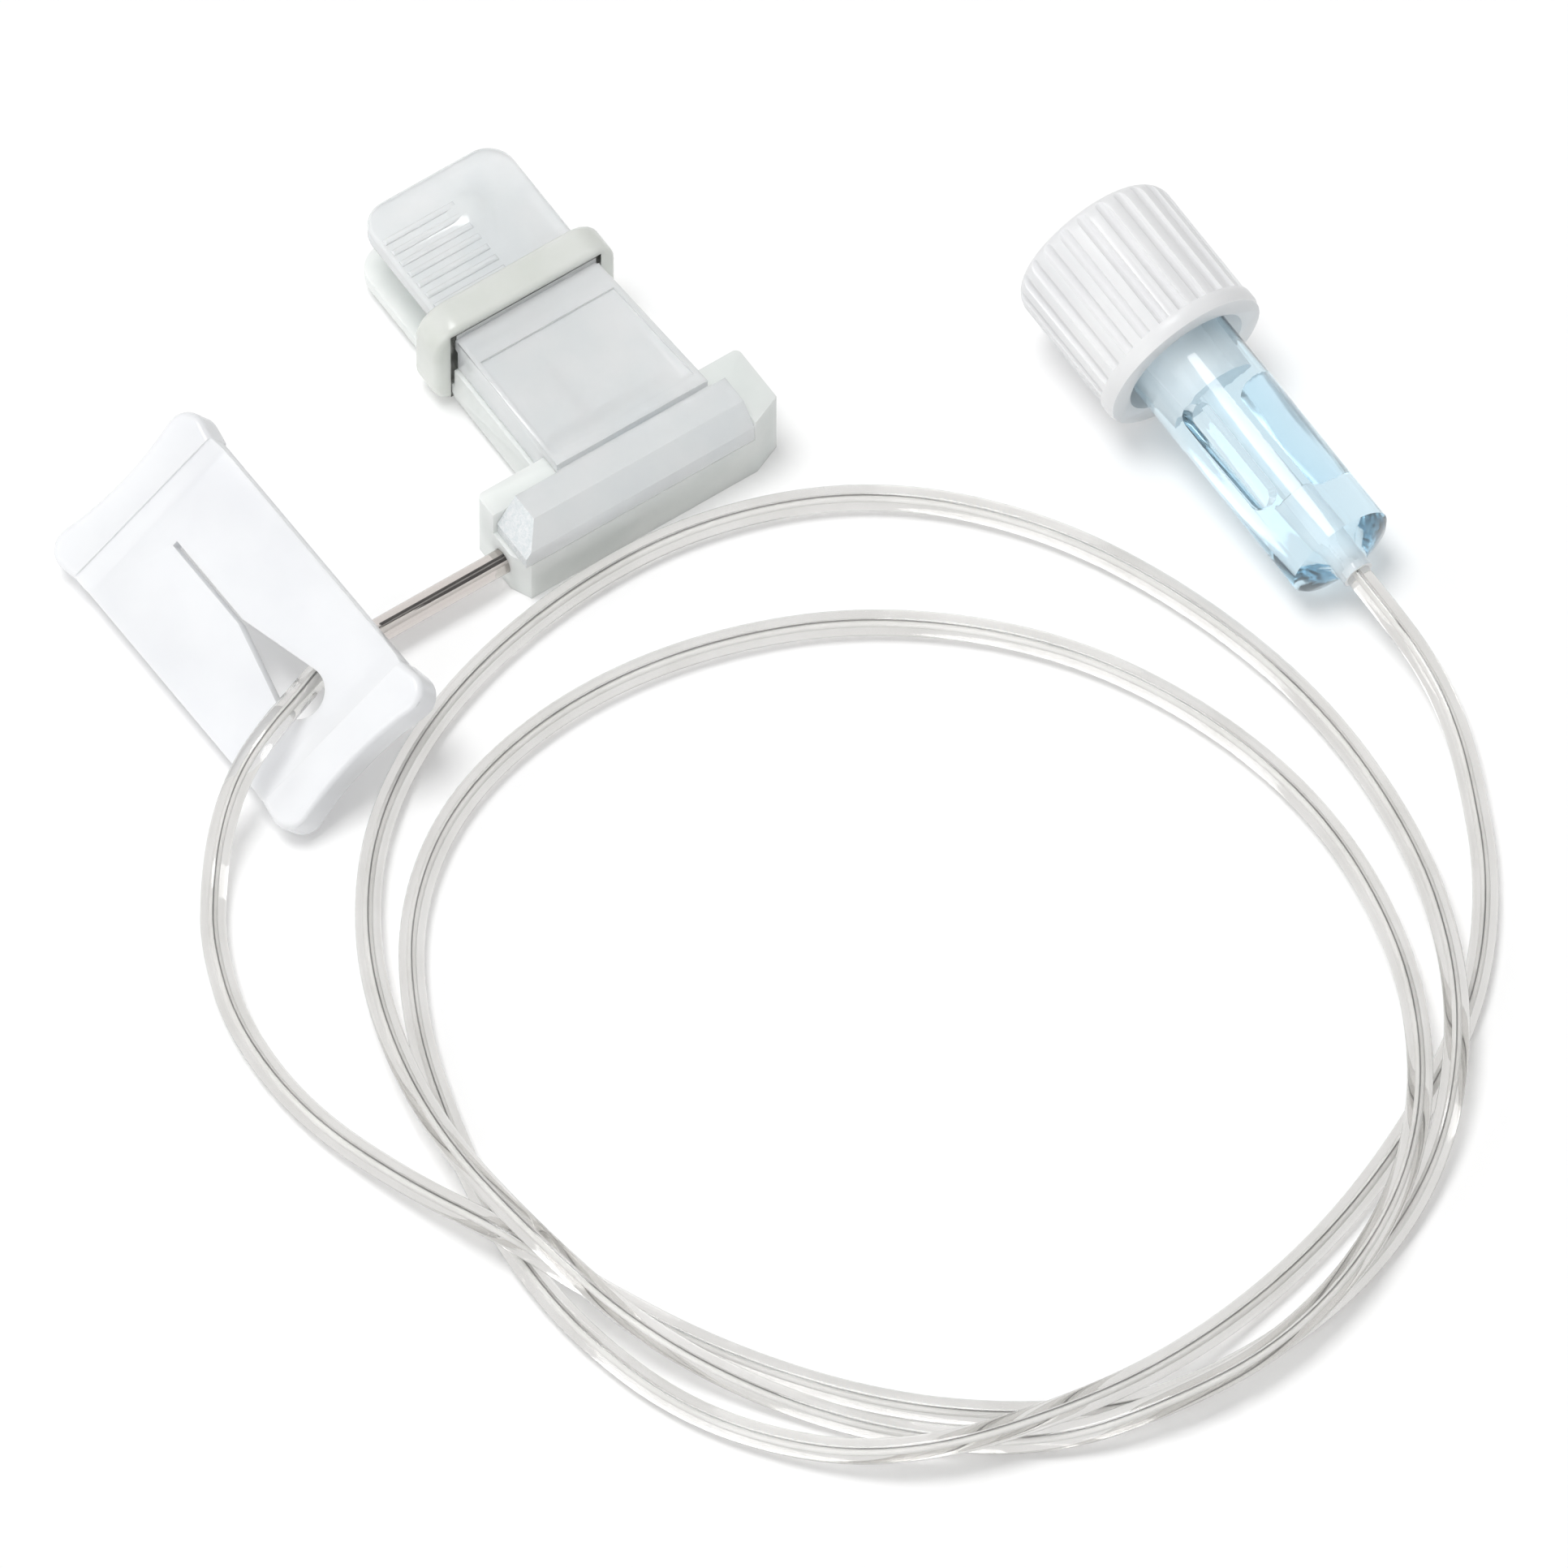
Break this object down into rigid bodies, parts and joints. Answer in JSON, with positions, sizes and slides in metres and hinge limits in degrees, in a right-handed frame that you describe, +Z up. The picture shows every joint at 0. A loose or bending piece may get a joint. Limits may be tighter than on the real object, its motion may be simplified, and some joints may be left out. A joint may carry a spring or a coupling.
{
  "type": "subcutaneous infusion set",
  "caption": "Subcutaneous infusion set: needle between closed clear wings with a ring, coiled clear tube, white slide clamp and capped luer connector.",
  "frame": {"origin": "on the table under the middle of the needle hub", "axes": "+Z up from the table, +X to the right and +Y away as the set is seen from above, the wings' tabs pointing between -X and +Y"},
  "size_m": [0.0848, 0.0893, 0.0119],
  "materials": {
    "clear_plastic": "gloss",
    "frosted_plastic": "satin",
    "ring_plastic": "satin",
    "white_plastic": "satin",
    "blue_plastic": "gloss",
    "tube_plastic": "gloss",
    "steel": "satin"
  },
  "bodies": {
    "set": {"lower_wing": "frosted_plastic", "upper_wing": "clear_plastic", "needle": "steel", "luer_connector": "blue_plastic", "infusion_tube": "tube_plastic"},
    "ring": {"retaining_ring": "ring_plastic"},
    "clamp": {"slide_clamp": "white_plastic"},
    "cap": {"luer_cap": "white_plastic"}
  },
  "joints": [
    {"name": "ring_off", "type": "slide", "parent": "set", "child": "ring", "axis": [-0.5592, 0.829, 0], "range_m": [0, 0.0115]},
    {"name": "clamp_shift", "type": "slide", "parent": "set", "child": "clamp", "axis": [0.5779, -0.8161, 0], "range_m": [0, 0.0012]},
    {"name": "cap_off", "type": "slide", "parent": "set", "child": "cap", "axis": [-0.5938, 0.7937, 0.1322], "range_m": [0, 0.014]}
  ]
}
